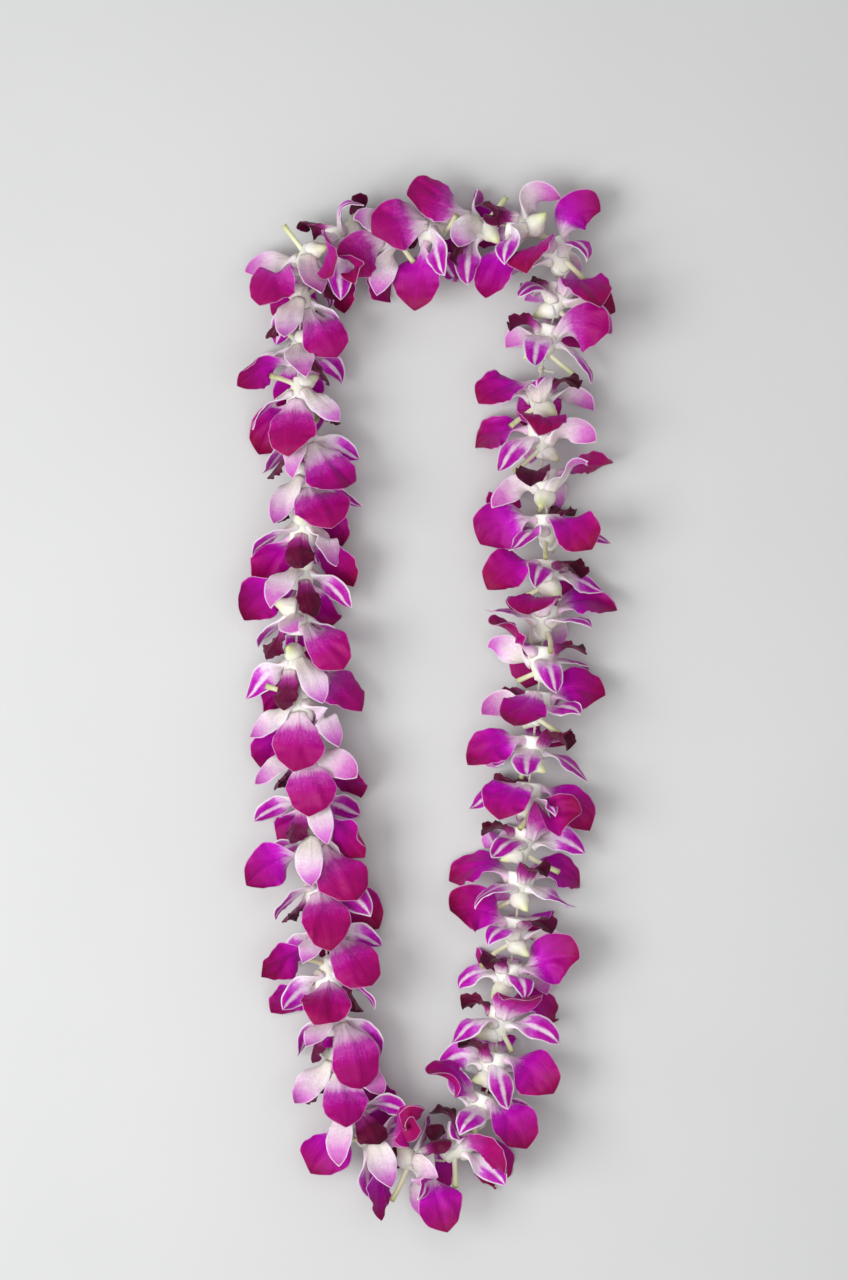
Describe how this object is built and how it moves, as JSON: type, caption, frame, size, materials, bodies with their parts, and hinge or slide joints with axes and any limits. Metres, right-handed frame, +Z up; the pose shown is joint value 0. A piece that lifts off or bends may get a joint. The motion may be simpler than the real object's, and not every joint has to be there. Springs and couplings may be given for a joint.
{
  "type": "orchid lei",
  "caption": "Garland of magenta and white orchid blooms strung on a cotton thread tied into a long loop, lying flat.",
  "frame": {"origin": "under the middle of the lei's box, on the surface that it lies on", "axes": "+Z up off the surface, +Y along the long loop towards its broad end, +X to the right seen from above"},
  "size_m": [0.1808, 0.5038, 0.0517],
  "materials": {
    "orchid_bloom": "satin petals",
    "cotton_thread": "matt twisted cotton"
  },
  "bodies": {
    "root": {"bloom_01": "orchid_bloom", "bloom_02": "orchid_bloom", "bloom_03": "orchid_bloom", "bloom_04": "orchid_bloom", "bloom_05": "orchid_bloom", "bloom_06": "orchid_bloom", "bloom_07": "orchid_bloom", "bloom_08": "orchid_bloom", "bloom_09": "orchid_bloom", "bloom_10": "orchid_bloom", "bloom_11": "orchid_bloom", "bloom_12": "orchid_bloom", "bloom_13": "orchid_bloom", "bloom_14": "orchid_bloom", "bloom_15": "orchid_bloom", "bloom_16": "orchid_bloom", "bloom_17": "orchid_bloom", "bloom_18": "orchid_bloom", "bloom_19": "orchid_bloom", "bloom_20": "orchid_bloom", "bloom_21": "orchid_bloom", "bloom_22": "orchid_bloom", "bloom_23": "orchid_bloom", "bloom_24": "orchid_bloom", "bloom_25": "orchid_bloom", "bloom_26": "orchid_bloom", "bloom_27": "orchid_bloom", "bloom_28": "orchid_bloom", "bloom_29": "orchid_bloom", "bloom_30": "orchid_bloom", "bloom_31": "orchid_bloom", "bloom_32": "orchid_bloom", "bloom_33": "orchid_bloom", "bloom_34": "orchid_bloom", "bloom_35": "orchid_bloom", "bloom_36": "orchid_bloom", "bloom_37": "orchid_bloom", "bloom_38": "orchid_bloom", "bloom_39": "orchid_bloom", "bloom_40": "orchid_bloom", "bloom_41": "orchid_bloom", "bloom_42": "orchid_bloom", "bloom_43": "orchid_bloom", "bloom_44": "orchid_bloom", "bloom_45": "orchid_bloom", "bloom_46": "orchid_bloom", "bloom_47": "orchid_bloom", "bloom_48": "orchid_bloom", "thread": "cotton_thread"}
  },
  "joints": []
}
